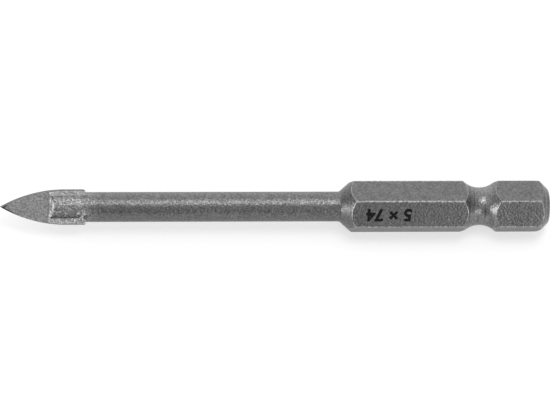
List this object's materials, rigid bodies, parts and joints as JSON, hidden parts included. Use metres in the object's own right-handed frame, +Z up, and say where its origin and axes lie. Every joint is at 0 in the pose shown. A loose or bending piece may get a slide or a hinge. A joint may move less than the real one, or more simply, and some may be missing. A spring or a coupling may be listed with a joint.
{
  "type": "glass and tile drill bit",
  "caption": "Spear-point drill bit for glass and tile: carbide blade brazed into a slotted steel rod, with a hexagon quick-change shank and a locking groove.",
  "frame": {"origin": "bottom centre of the bounding box, on the surface that the bit lies on", "axes": "X along the bit's axis from the point at -X to the shank end at +X, Z up through the flats of the hexagon"},
  "size_m": [0.074, 0.0072, 0.0063],
  "materials": {
    "blasted_steel": "bead-blasted satin",
    "ground_carbide": "fine ground, matt",
    "braze_metal": "uneven, half bright"
  },
  "bodies": {
    "root": {"shank": "blasted_steel", "carbide_blade": "ground_carbide", "braze": "braze_metal"}
  },
  "joints": []
}
